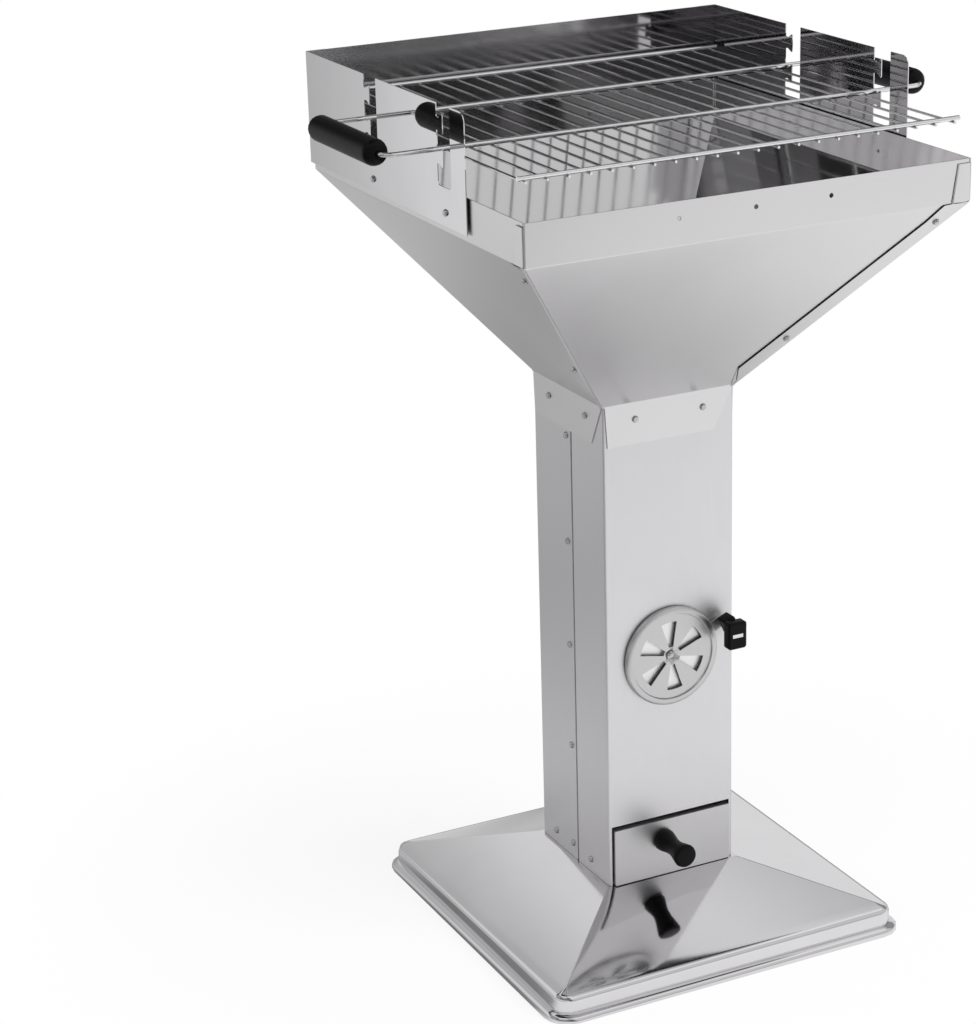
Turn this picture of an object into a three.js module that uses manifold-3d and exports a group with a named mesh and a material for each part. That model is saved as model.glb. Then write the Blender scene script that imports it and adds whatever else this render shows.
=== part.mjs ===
// Free-standing park barbecue in folded stainless sheet: a stamped square foot, a square column with an
// ash drawer and a round air vent, a funnel-shaped fire bowl, a windscreen with hook slots and a wire
// cooking grate hung in them. Millimetres, +Z up, front towards -Y, origin on the floor under the column.
import * as THREE from 'three';
import { mergeVertices } from 'three/addons/utils/BufferGeometryUtils.js';
import Module from 'manifold-3d';

const wasm = await Module();
wasm.setup();

// Sheet stock, seats and cuts
const sheet = 1;
const footSheet = 1.5;
const seatGap = 0.3;
const overrun = 3;
const innerBend = 1;
const bendSteps = 2;
const weld = 1e-4;
const straight = 1e-6;

// Foot
const footHalf = 210;
const footCornerRadius = 27;
const footHeight = 64;
const lipHeight = 7;
const lipRound = 3;
const ledgeWidth = 5;
const ledgeRise = 1;
const footWallTop = 27;
const footWallRound = 7;
const hipRound = 1.5;
const hipSettle = 9;
const plateauMargin = 4;
const footReturn = 14;
const wallHalf = footHalf - lipRound - ledgeWidth;
const slopeStart = wallHalf - footWallRound;

// Column
const columnHalf = 75;
const columnBottom = footHeight + seatGap;
const columnTopDrop = 2;
const jogInset = sheet + seatGap;
const joggleRun = 3;
const seamY = -6;
const seamFront = seamY - joggleRun / 2;
const seamRear = seamY + joggleRun / 2;
const lapDepth = 24;
const seamScrewInset = 9.5;
const seamScrewY = seamRear + seamScrewInset;
const seamScrewRise = 16.8;
const seamScrewDrop = 7.4;
const seamScrewCount = 5;
const baseScrewRise = 15;
const baseScrewZ = footHeight + baseScrewRise;
const baseScrewRearInset = 31;
const baseScrewFrontInset = 40;
const plateauHalf = columnHalf + plateauMargin;

// Frame between foot and column
const collarSheet = 1.5;
const collarHeight = 30;
const collarFlange = 22;
const collarHalf = columnHalf - sheet * 2 - seatGap * 2;

// Drawer
const doorJamb = 4;
const doorHalf = columnHalf - doorJamb;
const doorHeight = 68;
const frontSideGap = 1.7;
const frontHeadGap = 3.6;
const frontLift = 1;
const frontHalf = doorHalf - frontSideGap;
const frontHeight = doorHeight - frontLift - frontHeadGap;
const frontProud = 4;
const frontDepth = 8;
const frontCorner = 1.2;
const frontFaceY = -columnHalf - frontProud;
const trayClear = 0.5;
const trayHeadroom = 16;
const trayHeight = doorHeight - trayHeadroom;
const trayCorner = 3;
const knobX = -12;
const knobDrop = 25;
const knobZ = footHeight + doorHeight - knobDrop;
const knobLength = 49;
const knobFrontRadius = 13;
const knobWaistRadius = 8.8;
const knobRootRadius = 12.4;
const knobRound = 3.4;
const knobBoreShare = 0.33;
const knobScrewClear = 1.5;
const collarFrontGap = 2;
const collarFront = frontFaceY + frontDepth + collarFrontGap;

// Vent
const ventZ = 314;
const ventRadius = 54;
const ventBeadWidth = 7;
const ventBeadRise = 1.8;
const ventFieldStand = 4.4;
const ventRimStand = 1.4;
const ventDimpleRadius = 6;
const petalCount = 6;
const petalInner = 10;
const petalMargin = 9;
const petalOuter = ventRadius - ventBeadWidth - petalMargin;
const petalAngle = 28;
const petalPitch = 360 / petalCount;
const petalPhase = 35;
const leverAngle = 24;
const leverOverhang = 13;
const leverReach = ventRadius + leverOverhang;
const leverWidth = 12;
const leverForward = 33;
const ventGripWall = 4;
const ventGripNeckLong = leverWidth + ventGripWall * 2;
const ventGripNeckWide = 13;
const ventGripNeckDepth = 16;
const ventGripHeadWidth = 21.5;
const ventGripHeadHeight = 29.5;
const ventGripHeadDepth = 12;
const ventGripDrop = 7;
const ventGripRound = 1.5;
const ventWindowWidth = 12.7;
const ventWindowHeight = 4.4;
const ventWindowDepth = 1;
const rivetRadius = 2.2;
const rivetHeadRadius = 4.4;
const rivetHeadHeight = 1.8;
const rivetCrownShare = 0.33;

// Funnel
const rimHalf = 240;
const rimZ = 838;
const bandHeight = 42;
const neckZ = 595;
const neckHalf = columnHalf + seatGap + sheet;
const collarDrop = 44;
const collarRightCut = 23;
const collarLeftInset = 3;
const collarScrewX = 39;
const collarScrewDrop = 18;
const tabTopWidth = 14;
const tabBottomWidth = 21;
const tabTopDrop = 4;
const hipFlangeTopWidth = 30;
const hipFlangeWidth = 26;
const hipFlangeSettle = 24;
const hipFlangeEndRise = 29.2;
const hipFlangeTipRise = 5.2;
const hipTipWidth = 4;
const hipBendRadius = 1.4;
const hipScrewInset = 13.6;
const hipScrewDrop = 25;
const hipScrewRise = 71.2;
const reliefLength = 22;
const reliefHeight = 1.2;
const reliefDrop = 8;
const reliefNotch = 11;
const frontHoleRadius = 2.5;
const frontHolePitch = 82;
const frontHoleDrop = 16;

// Windscreen
const screenBandShow = 7;
const screenBottomZ = rimZ - bandHeight + screenBandShow;
const screenHeight = 115;
const screenTopZ = screenBottomZ + screenHeight;
const screenCorner = 10;
const screenFlange = 22;
const screenScrewRise = 13;
const screenScrewZ = screenBottomZ + screenScrewRise;
const screenScrewPitch = 83;
const slotPitch = 83;
const slotWidth = 29;
const slotStrip = 30.5;
const screenFrontY = -slotPitch - slotWidth / 2 - slotStrip;
const slotCorner = 4;
const toothLength = 13;
const toothNeck = 11.3;
const toothLip = 4.1;
const toothHang = 3.5;
const toothRootRise = 0.8;
const toothSeat = 5;
const toothTip = 1;
const toothLevelPitch = 32;
const toothTopDrop = 13.7;
const toothCradleZ = screenTopZ - toothTopDrop - toothLevelPitch;
const slotFoot = 32.3;
const slotBottomZ = toothCradleZ - slotFoot;

// Cooking grate
const rodRadius = 2.4;
const wireRadius = 1.4;
const weldSink = 0.4;
const wireCount = 22;
const wirePoke = 4;
const wireMargin = 7;
const grateSideClear = 5;
const grateFrontClear = 18;
const grateRearClear = 10;
const loopOverhang = 57;
const loopCorner = 12;
const gripRadius = 13.2;
const gripLength = slotPitch * 2 - loopCorner * 2;
const gripRound = 8;
const gripRoundShares = [0, 0.33, 0.67, 1];

// Charcoal grate
const coalHalf = 106;
const coalRodRadius = 2.5;
const coalBarRadius = 2;
const coalBarCount = 9;
const coalCorner = 8;

// Fasteners
const screwRadius = 1.7;
const screwHeadRadius = 3.8;
const screwHeadHeight = 1.9;
const screwTip = 0.8;
const screwSides = 8;
const screwCrownShare = 0.7;

// Facets
const wireSides = 6;
const rodSides = 8;
const turnSides = 20;
const discSides = 40;
const holeSides = 8;
const rivetSides = 16;
const cornerSteps = 4;
const knobSteps = 6;
const loopSteps = 3;
const cutSegments = 4;
const gripSegments = 2;

// Finishes
const finish = (color, roughness, metalness) => {
  return new THREE.MeshStandardMaterial({ color, roughness, metalness });
};
const mirrorSteel = () => finish(0xc9c9cb, 0.12, 1);
const satinSteel = () => finish(0xc4c3c6, 0.34, 1);
const brushedSteel = () => finish(0xd0cfd2, 0.3, 1);
const chromeWire = () => finish(0xd5d5d8, 0.16, 1);
const blackPlastic = () => finish(0x101010, 0.45, 0);
const screwSteel = () => finish(0xbdbdc0, 0.25, 1);

const grill = new THREE.Group();

function addMesh(name, geometry, material) {
  const mesh = new THREE.Mesh(geometry, material);
  mesh.name = name;
  grill.add(mesh);
  return mesh;
}

// Solids: closed geometry to a manifold and back
function solidOf(geometry) {
  const bare = geometry.clone();
  bare.deleteAttribute('normal');
  bare.deleteAttribute('uv');
  const merged = mergeVertices(bare, weld);
  const vertProperties = new Float32Array(merged.attributes.position.array);
  const triVerts = new Uint32Array(merged.index.array);
  return new wasm.Manifold(new wasm.Mesh({ numProp: 3, vertProperties, triVerts }));
}

function geometryOf(solid) {
  const mesh = solid.getMesh();
  const geometry = new THREE.BufferGeometry();
  geometry.setAttribute('position', new THREE.Float32BufferAttribute(mesh.vertProperties, 3));
  geometry.setIndex(Array.from(mesh.triVerts));
  geometry.computeVertexNormals();
  return geometry;
}

const cutAll = (body, cutters) => cutters.reduce((left, cutter) => left.subtract(cutter), body);
const joinAll = (bodies) => bodies.reduce((left, body) => left.add(body));

// Loft through rings of points that share one outline; the ends are capped unless the loft closes on itself
function loft(rings, capOutline) {
  const ringSize = rings[0].length;
  const geometry = new THREE.BufferGeometry();
  const places = rings.flat().flatMap((p) => [p.x, p.y, p.z]);
  geometry.setAttribute('position', new THREE.Float32BufferAttribute(places, 3));
  const faces = [];
  const last = capOutline ? rings.length - 1 : rings.length;
  for (let ring = 0; ring < last; ring += 1) {
    const next = (ring + 1) % rings.length;
    for (let side = 0; side < ringSize; side += 1) {
      const across = (side + 1) % ringSize;
      const a = ring * ringSize + side;
      const b = ring * ringSize + across;
      const c = next * ringSize + across;
      const d = next * ringSize + side;
      faces.push(a, b, c, a, c, d);
    }
  }
  if (capOutline) {
    const end = (rings.length - 1) * ringSize;
    for (const [a, b, c] of THREE.ShapeUtils.triangulateShape(capOutline, [])) {
      faces.push(a, c, b, end + a, end + b, end + c);
    }
  }
  geometry.setIndex(faces);
  return outward(geometry);
}

// A closed geometry whose faces point in is turned round
function outward(geometry) {
  const index = geometry.index.array;
  const place = geometry.attributes.position;
  const [a, b, c] = [new THREE.Vector3(), new THREE.Vector3(), new THREE.Vector3()];
  let volume = 0;
  for (let corner = 0; corner < index.length; corner += 3) {
    a.fromBufferAttribute(place, index[corner]);
    b.fromBufferAttribute(place, index[corner + 1]);
    c.fromBufferAttribute(place, index[corner + 2]);
    volume += a.dot(b.cross(c));
  }
  if (volume < 0) {
    for (let corner = 0; corner < index.length; corner += 3) {
      [index[corner + 1], index[corner + 2]] = [index[corner + 2], index[corner + 1]];
    }
  }
  geometry.computeVertexNormals();
  return geometry;
}

// Folded sheet: a polyline of outer corners, with the sheet on its left and every fold rounded.
// Gives the points of both faces, pair by pair.
function foldedSheet(points, thickness, radius = innerBend) {
  const corners = points.map(([x, y]) => new THREE.Vector2(x, y));
  const heading = corners.slice(1).map((corner, i) => corner.clone().sub(corners[i]).normalize());
  const leftOf = (way) => new THREE.Vector2(-way.y, way.x);
  const face = [];
  const back = [];
  const pair = (base, way) => {
    face.push(base.clone());
    back.push(base.clone().addScaledVector(leftOf(way), thickness));
  };
  pair(corners[0], heading[0]);
  for (let i = 1; i < corners.length - 1; i += 1) {
    const before = heading[i - 1];
    const after = heading[i];
    const turn = Math.atan2(before.cross(after), before.dot(after));
    if (Math.abs(turn) < straight) {
      pair(corners[i], before);
      continue;
    }
    const side = Math.sign(turn);
    const faceRadius = side > 0 ? radius + thickness : radius;
    const backRadius = side > 0 ? radius : radius + thickness;
    const setBack = faceRadius * Math.tan(Math.abs(turn) / 2);
    const centre = corners[i].clone().addScaledVector(before, -setBack);
    centre.addScaledVector(leftOf(before), side * faceRadius);
    const start = leftOf(before).multiplyScalar(-side);
    for (let step = 0; step <= bendSteps; step += 1) {
      const spoke = start.clone().rotateAround(new THREE.Vector2(), (turn * step) / bendSteps);
      face.push(centre.clone().addScaledVector(spoke, faceRadius));
      back.push(centre.clone().addScaledVector(spoke, backRadius));
    }
  }
  pair(corners[corners.length - 1], heading[heading.length - 1]);
  return { face, back };
}

const outlineOf = ({ face, back }) => [...face, ...back.slice().reverse()];

// Upright wall of a plan, given as points or as a shape, from one height to another
function upright(outline, bottom, top) {
  const settings = { depth: top - bottom, bevelEnabled: false, curveSegments: cutSegments };
  const shape = Array.isArray(outline) ? new THREE.Shape(outline) : outline;
  return new THREE.ExtrudeGeometry(shape, settings).translate(0, 0, bottom);
}

// Outlines drawn in X and Z are extruded along Y, those in Y and Z along X
function alongY(shape, fromY, toY) {
  return upright(shape, 0, toY - fromY).rotateX(Math.PI / 2).translate(0, toY, 0);
}

function alongX(shape, fromX, toX) {
  return upright(shape, 0, toX - fromX).rotateX(Math.PI / 2).rotateZ(Math.PI / 2).translate(fromX, 0, 0);
}

function block(from, to) {
  const size = to.map((high, axis) => high - from[axis]);
  const middle = to.map((high, axis) => (high + from[axis]) / 2);
  return new THREE.BoxGeometry(...size).translate(...middle);
}

function roundedRect(halfX, lowY, highY, radius) {
  const shape = new THREE.Shape();
  shape.moveTo(-halfX + radius, lowY);
  shape.lineTo(halfX - radius, lowY);
  shape.absarc(halfX - radius, lowY + radius, radius, -Math.PI / 2, 0);
  shape.lineTo(halfX, highY - radius);
  shape.absarc(halfX - radius, highY - radius, radius, 0, Math.PI / 2);
  shape.lineTo(-halfX + radius, highY);
  shape.absarc(-halfX + radius, highY - radius, radius, Math.PI / 2, Math.PI);
  shape.lineTo(-halfX, lowY + radius);
  shape.absarc(-halfX + radius, lowY + radius, radius, Math.PI, (Math.PI * 3) / 2);
  return shape;
}

// A round bar between two points; bars and screws are drawn along Y before they are turned into place
const drawnAxis = new THREE.Vector3(0, 1, 0);
function bar(from, to, radius, sides) {
  const start = new THREE.Vector3(...from);
  const way = new THREE.Vector3(...to).sub(start);
  const geometry = new THREE.CylinderGeometry(radius, radius, way.length(), sides);
  const turn = new THREE.Quaternion().setFromUnitVectors(drawnAxis, way.clone().normalize());
  return geometry.applyQuaternion(turn).translate(...start.addScaledVector(way, 1 / 2).toArray());
}

// A hole drilled through a point along a direction
function drill(point, way, radius, reach) {
  const centre = new THREE.Vector3(...point);
  const along = new THREE.Vector3(...way).normalize().multiplyScalar(reach);
  const from = centre.clone().sub(along).toArray();
  const to = centre.clone().add(along).toArray();
  return solidOf(bar(from, to, radius, holeSides));
}

// Holes for screws reach through the deepest stack of sheets that one screw holds
const screwHole = screwRadius + seatGap;
const screwReach = sheet * 2 + collarSheet + overrun;
const drillAll = (places) => places.map(({ point, way }) => drill(point, way, screwHole, screwReach));

// Pan-head screw, its head seated outside a face and its shank through the stack behind it
const screws = [];
function screw(name, point, way, grip) {
  const profile = [
    [0, screwHeadHeight],
    [screwHeadRadius * screwCrownShare, screwHeadHeight],
    [screwHeadRadius, 0],
    [screwRadius, 0],
    [screwRadius, -grip - screwTip],
    [0, -grip - screwTip],
  ].map(([radius, height]) => new THREE.Vector2(radius, height));
  const geometry = new THREE.LatheGeometry(profile, screwSides);
  const mesh = new THREE.Mesh(outward(closed(geometry)), screwSteel());
  const outwards = new THREE.Vector3(...way).normalize();
  mesh.name = name;
  mesh.quaternion.setFromUnitVectors(drawnAxis, outwards);
  mesh.position.set(...point).addScaledVector(outwards, seatGap);
  screws.push(mesh);
}

// Seams of a turned or extruded geometry are welded
function closed(geometry) {
  geometry.deleteAttribute('normal');
  geometry.deleteAttribute('uv');
  return mergeVertices(geometry, weld);
}

// Turned piece about the Y axis, its profile given as radius and distance in front of a plane
function turned(profile, planeY, x, z, sides) {
  const points = profile.map(([radius, out]) => new THREE.Vector2(radius, out));
  const geometry = outward(closed(new THREE.LatheGeometry(points, sides)));
  return outward(geometry.rotateX(Math.PI).translate(x, planeY, z));
}

// Foot: a stamped shell lofted through rounded squares, with a narrow return under its rim
function roundedSquare(half, z, radius) {
  const ring = [];
  for (let quarter = 0; quarter < 4; quarter += 1) {
    const middle = new THREE.Vector2(half - radius, half - radius);
    middle.rotateAround(new THREE.Vector2(), (Math.PI / 2) * quarter);
    for (let step = 0; step <= cornerSteps; step += 1) {
      const angle = (Math.PI / 2) * (quarter + step / cornerSteps);
      const x = middle.x + radius * Math.cos(angle);
      const y = middle.y + radius * Math.sin(angle);
      ring.push(new THREE.Vector3(x, y, z));
    }
  }
  return ring;
}

// Half width, height and corner radius of each level, for the outer skin or for one that lies inside it
function footSkin(inset) {
  const slopeAngle = Math.atan2(footHeight - footWallTop, slopeStart - plateauHalf);
  const lift = inset / Math.cos(slopeAngle);
  const settled = hipSettle * Math.tan(slopeAngle);
  const roundMiddle = footWallRound * (1 - Math.SQRT1_2);
  const ledgeRadius = footCornerRadius - lipRound;
  const wallRadius = ledgeRadius - ledgeWidth;
  return [
    [footHalf - inset, inset, footCornerRadius],
    [footHalf - inset, lipHeight - lipRound, footCornerRadius],
    [footHalf - lipRound, lipHeight - inset, ledgeRadius],
    [wallHalf - inset, lipHeight + ledgeRise - inset, wallRadius],
    [wallHalf - inset, footWallTop - footWallRound, wallRadius],
    [wallHalf - inset - roundMiddle, footWallTop - roundMiddle - inset / 2, wallRadius - footWallRound / 2],
    [slopeStart - inset, footWallTop - lift, footWallRound],
    [slopeStart - hipSettle, footWallTop + settled - lift, hipRound],
    [plateauHalf, footHeight - lift, hipRound],
  ];
}

function makeFoot() {
  const returnHalf = footHalf - footReturn;
  const returnRadius = footCornerRadius - footReturn;
  const mouth = [[returnHalf, -overrun, returnRadius], [returnHalf, footSheet, returnRadius]];
  const stack = (levels) => {
    const rings = levels.map((level) => roundedSquare(...level));
    return solidOf(loft(rings, rings[0].map((p) => new THREE.Vector2(p.x, p.y))));
  };
  return geometryOf(stack(footSkin(0)).subtract(stack([...mouth, ...footSkin(footSheet)])));
}

addMesh('base_foot', makeFoot(), mirrorSteel());

// Frame that the column is screwed to and the drawer slides on: an upstand and a floor flange, open in front
function collarPlan(width) {
  return outlineOf(foldedSheet([
    [collarHalf, collarFront],
    [collarHalf, collarHalf],
    [-collarHalf, collarHalf],
    [-collarHalf, collarFront],
  ], width, innerBend));
}

const baseScrewPlaces = [];
for (const side of [-1, 1]) {
  for (const y of [columnHalf - baseScrewRearInset, baseScrewFrontInset - columnHalf]) {
    baseScrewPlaces.push({ point: [side * columnHalf, y, baseScrewZ], way: [side, 0, 0] });
  }
}
baseScrewPlaces.push({ point: [0, columnHalf, baseScrewZ], way: [0, 1, 0] });

const seamScrewPlaces = [];
for (const side of [-1, 1]) {
  for (let i = 0; i < seamScrewCount; i += 1) {
    const share = i / (seamScrewCount - 1);
    const z = THREE.MathUtils.lerp(footHeight + seamScrewRise, neckZ - collarDrop - seamScrewDrop, share);
    seamScrewPlaces.push({ point: [side * columnHalf, seamScrewY, z], way: [side, 0, 0] });
  }
}

const columnDrills = () => drillAll([...baseScrewPlaces, ...seamScrewPlaces]);

function makeCollar() {
  const upstand = solidOf(upright(collarPlan(collarSheet), columnBottom, columnBottom + collarHeight));
  const floor = solidOf(upright(collarPlan(collarFlange), columnBottom, columnBottom + collarSheet));
  return geometryOf(cutAll(upstand.add(floor), columnDrills()));
}

addMesh('base_collar', makeCollar(), satinSteel());

// Column: front half with joggled rear edges, and rear half that laps over them
const columnTop = neckZ - columnTopDrop;
const ventPlaneY = -columnHalf;

function petal(middleAngle) {
  const start = THREE.MathUtils.degToRad(middleAngle - petalAngle / 2);
  const end = THREE.MathUtils.degToRad(middleAngle + petalAngle / 2);
  const shape = new THREE.Shape();
  shape.absarc(0, ventZ, petalOuter, start, end, false);
  shape.absarc(0, ventZ, petalInner, end, start, true);
  return shape;
}

function petals(phase, fromY, toY) {
  const middles = Array.from({ length: petalCount }, (_, i) => phase + petalPitch * i);
  return middles.map((middle) => solidOf(alongY(petal(middle), fromY, toY)));
}

function collarScrewPlaces(quarter) {
  return [-collarScrewX, collarScrewX].map((x) => ({
    point: turnedPlace([x, -neckHalf, neckZ - collarScrewDrop], quarter),
    way: turnedPlace([0, -1, 0], quarter),
  }));
}

function turnedPlace([x, y, z], quarter) {
  const spun = new THREE.Vector2(x, y).rotateAround(new THREE.Vector2(), (Math.PI / 2) * quarter);
  return [spun.x, spun.y, z];
}

const quarters = [0, 1, 2, 3];
const collarDrills = () => quarters.flatMap((quarter) => drillAll(collarScrewPlaces(quarter)));

function makeColumnFront() {
  const plan = outlineOf(foldedSheet([
    [-columnHalf + jogInset, seamRear + lapDepth],
    [-columnHalf + jogInset, seamRear],
    [-columnHalf, seamFront],
    [-columnHalf, -columnHalf],
    [columnHalf, -columnHalf],
    [columnHalf, seamFront],
    [columnHalf - jogInset, seamRear],
    [columnHalf - jogInset, seamRear + lapDepth],
  ], sheet));
  const body = solidOf(upright(plan, columnBottom, columnTop));
  const door = solidOf(block(
    [-doorHalf, -columnHalf - overrun, columnBottom - overrun],
    [doorHalf, -columnHalf + sheet + innerBend / 2, footHeight + doorHeight],
  ));
  const holes = petals(petalPhase + petalPitch / 2, ventPlaneY - overrun, ventPlaneY + sheet + overrun);
  const rivetHole = drill([0, ventPlaneY, ventZ], [0, 1, 0], rivetRadius + seatGap, overrun);
  return geometryOf(cutAll(body, [door, ...holes, rivetHole, ...columnDrills(), ...collarDrills()]));
}

function makeColumnRear() {
  const plan = outlineOf(foldedSheet([
    [columnHalf, seamRear + seatGap],
    [columnHalf, columnHalf],
    [-columnHalf, columnHalf],
    [-columnHalf, seamRear + seatGap],
  ], sheet));
  const body = solidOf(upright(plan, columnBottom, columnTop));
  return geometryOf(cutAll(body, [...columnDrills(), ...collarDrills()]));
}

addMesh('column_front', makeColumnFront(), brushedSteel());
addMesh('column_rear', makeColumnRear(), brushedSteel());

const seamGrip = sheet * 2 + seatGap;
const baseGrip = sheet + collarSheet + seatGap * 2 + jogInset;
seamScrewPlaces.forEach(({ point, way }, i) => {
  const side = point[0] < 0 ? 'left' : 'right';
  screw(`seam_screw_${side}_${(i % seamScrewCount) + 1}`, point, way, seamGrip + seatGap);
});
const baseScrewNames = baseScrewPlaces.map(({ point, way }) => {
  if (way[1] !== 0) {
    return 'base_screw_rear';
  }
  return `base_screw_${point[0] < 0 ? 'left' : 'right'}_${point[1] < 0 ? 'front' : 'rear'}`;
});
baseScrewPlaces.forEach(({ point, way }, i) => screw(baseScrewNames[i], point, way, baseGrip));

// Drawer: a folded pan in front, an open tray behind it, and a knob whose screw holds all three
const frontBottom = footHeight + frontLift;
const frontTop = frontBottom + frontHeight;
const trayHalf = frontHalf - sheet - trayClear;
const trayFrontY = frontFaceY + sheet + seatGap;
const trayRearY = collarHalf - collarSheet - screwTip - seatGap;
const trayBottom = columnBottom + collarSheet + seatGap;
const knobBore = screwRadius + seatGap;
const knobBoreDepth = knobLength * knobBoreShare;

function makeDrawerFront() {
  const shape = roundedRect(frontHalf, frontBottom, frontTop, frontCorner);
  const outer = solidOf(alongY(shape, frontFaceY, frontFaceY + frontDepth));
  const hollow = solidOf(block(
    [-frontHalf + sheet, frontFaceY + sheet, frontBottom + sheet],
    [frontHalf - sheet, frontFaceY + frontDepth + overrun, frontTop - sheet],
  ));
  const hole = drill([knobX, frontFaceY, knobZ], [0, 1, 0], knobBore, overrun);
  return geometryOf(cutAll(outer, [hollow, hole]));
}

function makeDrawerTray() {
  const plan = (inset) => {
    return roundedRect(trayHalf - inset, trayFrontY + inset, trayRearY - inset, trayCorner - inset);
  };
  const shell = (inset, bottom, top) => solidOf(upright(plan(inset), bottom, top));
  const body = shell(0, trayBottom, trayBottom + trayHeight);
  const hollow = shell(sheet, trayBottom + sheet, trayBottom + trayHeight + overrun);
  const hole = drill([knobX, trayFrontY, knobZ], [0, 1, 0], knobBore, overrun);
  return geometryOf(cutAll(body, [hollow, hole]));
}

addMesh('drawer_front', makeDrawerFront(), mirrorSteel());
addMesh('drawer_tray', makeDrawerTray(), satinSteel());

function knobRadiusAt(share) {
  const toFront = THREE.MathUtils.lerp(knobRootRadius, knobFrontRadius, share);
  const waist = Math.sin(Math.PI * share) ** 2;
  return THREE.MathUtils.lerp(toFront, knobWaistRadius, waist);
}

function knobProfile() {
  const roundMiddle = knobRound * (1 - Math.SQRT1_2);
  const skin = Array.from({ length: knobSteps + 1 }, (_, i) => {
    const out = THREE.MathUtils.lerp(knobRound, knobLength - knobRound, i / knobSteps);
    return [knobRadiusAt(out / knobLength), out];
  });
  return [
    [0, knobBoreDepth],
    [knobBore, knobBoreDepth],
    [knobBore, 0],
    [knobRootRadius - knobRound, 0],
    [knobRootRadius - roundMiddle, roundMiddle],
    ...skin,
    [knobFrontRadius - roundMiddle, knobLength - roundMiddle],
    [knobFrontRadius - knobRound, knobLength],
    [0, knobLength],
  ];
}

const knobGeometry = turned(knobProfile(), frontFaceY - seatGap, knobX, knobZ, turnSides);
addMesh('drawer_knob', knobGeometry, blackPlastic());

function makeKnobScrew() {
  const headY = trayFrontY + sheet + seatGap;
  const tip = frontFaceY - knobBoreDepth + knobScrewClear;
  const length = headY - tip;
  const profile = [
    [0, -screwHeadHeight],
    [screwHeadRadius, -screwHeadHeight],
    [screwHeadRadius, 0],
    [screwRadius, 0],
    [screwRadius, length],
    [0, length],
  ];
  return turned(profile, headY, knobX, knobZ, holeSides);
}

addMesh('drawer_knob_screw', makeKnobScrew(), screwSteel());

// Vent: stamped disc with a raised bead and a turned rim, petal openings and a lever bent forward at its end
const fieldBack = ventFieldStand - sheet;
const beadTop = ventFieldStand + ventBeadRise;

function makeVentDisc() {
  const beadInner = ventRadius - ventBeadWidth;
  const profile = [
    [rivetRadius + seatGap, seatGap],
    [ventDimpleRadius, seatGap],
    [ventDimpleRadius + fieldBack, fieldBack],
    [beadInner, fieldBack],
    [beadInner + sheet, beadTop - sheet],
    [ventRadius - sheet - innerBend / 2, beadTop - sheet],
    [ventRadius - sheet, ventRimStand],
    [ventRadius, ventRimStand],
    [ventRadius, beadTop - sheet - innerBend],
    [ventRadius - sheet - innerBend, beadTop],
    [beadInner + sheet / 2, beadTop],
    [beadInner - sheet / 2, ventFieldStand],
    [ventDimpleRadius + fieldBack - sheet / 2, ventFieldStand],
    [ventDimpleRadius - sheet / 2, seatGap + sheet],
    [rivetRadius + seatGap, seatGap + sheet],
    [rivetRadius + seatGap, seatGap],
  ];
  const disc = solidOf(turned(profile, ventPlaneY, 0, ventZ, discSides));
  const openings = petals(petalPhase, ventPlaneY - beadTop - overrun, ventPlaneY + overrun);
  return geometryOf(cutAll(disc, openings).add(solidOf(leverGeometry())));
}

// The lever lies on a radius of the disc; it is drawn along +X and turned to its angle about the rivet
function onLeverAngle(geometry) {
  return geometry.rotateY(-THREE.MathUtils.degToRad(leverAngle)).translate(0, ventPlaneY, ventZ);
}

function leverGeometry() {
  const standOut = ventRimStand + sheet;
  const outline = outlineOf(foldedSheet([
    [ventRadius - sheet / 2, -standOut],
    [leverReach, -standOut],
    [leverReach, -leverForward],
  ].reverse(), sheet));
  return onLeverAngle(upright(outline, -leverWidth / 2, leverWidth / 2));
}

addMesh('vent_disc', makeVentDisc(), brushedSteel());

function bevelledBlock(width, height, depth, round) {
  const shape = roundedRect(width / 2 - round, -height / 2 + round, height / 2 - round, round);
  const geometry = new THREE.ExtrudeGeometry(shape, {
    depth: depth - round * 2,
    bevelThickness: round,
    bevelSize: round,
    bevelSegments: 1,
    curveSegments: gripSegments,
  });
  return geometry.translate(0, 0, round - depth / 2).rotateX(Math.PI / 2);
}

function makeVentGrip() {
  const headBack = leverForward + ventGripRound + seatGap - ventGripHeadDepth;
  const neckMiddle = headBack - ventGripNeckDepth / 2 + ventGripRound;
  const neck = bevelledBlock(ventGripNeckWide, ventGripNeckLong, ventGripNeckDepth, ventGripRound);
  const placedNeck = onLeverAngle(neck.translate(leverReach, -neckMiddle, 0));
  const head = bevelledBlock(ventGripHeadWidth, ventGripHeadHeight, ventGripHeadDepth, ventGripRound);
  const leverRadians = THREE.MathUtils.degToRad(leverAngle);
  const headX = leverReach * Math.cos(leverRadians);
  const headZ = ventZ + leverReach * Math.sin(leverRadians) - ventGripDrop;
  const headFront = ventPlaneY - headBack - ventGripHeadDepth;
  head.translate(headX, headFront + ventGripHeadDepth / 2, headZ);
  const pocket = block(
    [leverReach - sheet - seatGap, -leverForward - seatGap, -leverWidth / 2 - seatGap],
    [leverReach + seatGap, 0, leverWidth / 2 + seatGap],
  );
  const window = block(
    [headX - ventWindowWidth / 2, headFront - overrun, headZ - ventWindowHeight / 2],
    [headX + ventWindowWidth / 2, headFront + ventWindowDepth, headZ + ventWindowHeight / 2],
  );
  const body = joinAll([placedNeck, head].map(solidOf));
  return geometryOf(cutAll(body, [onLeverAngle(pocket), window].map(solidOf)));
}

addMesh('vent_grip', makeVentGrip(), blackPlastic());

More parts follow.
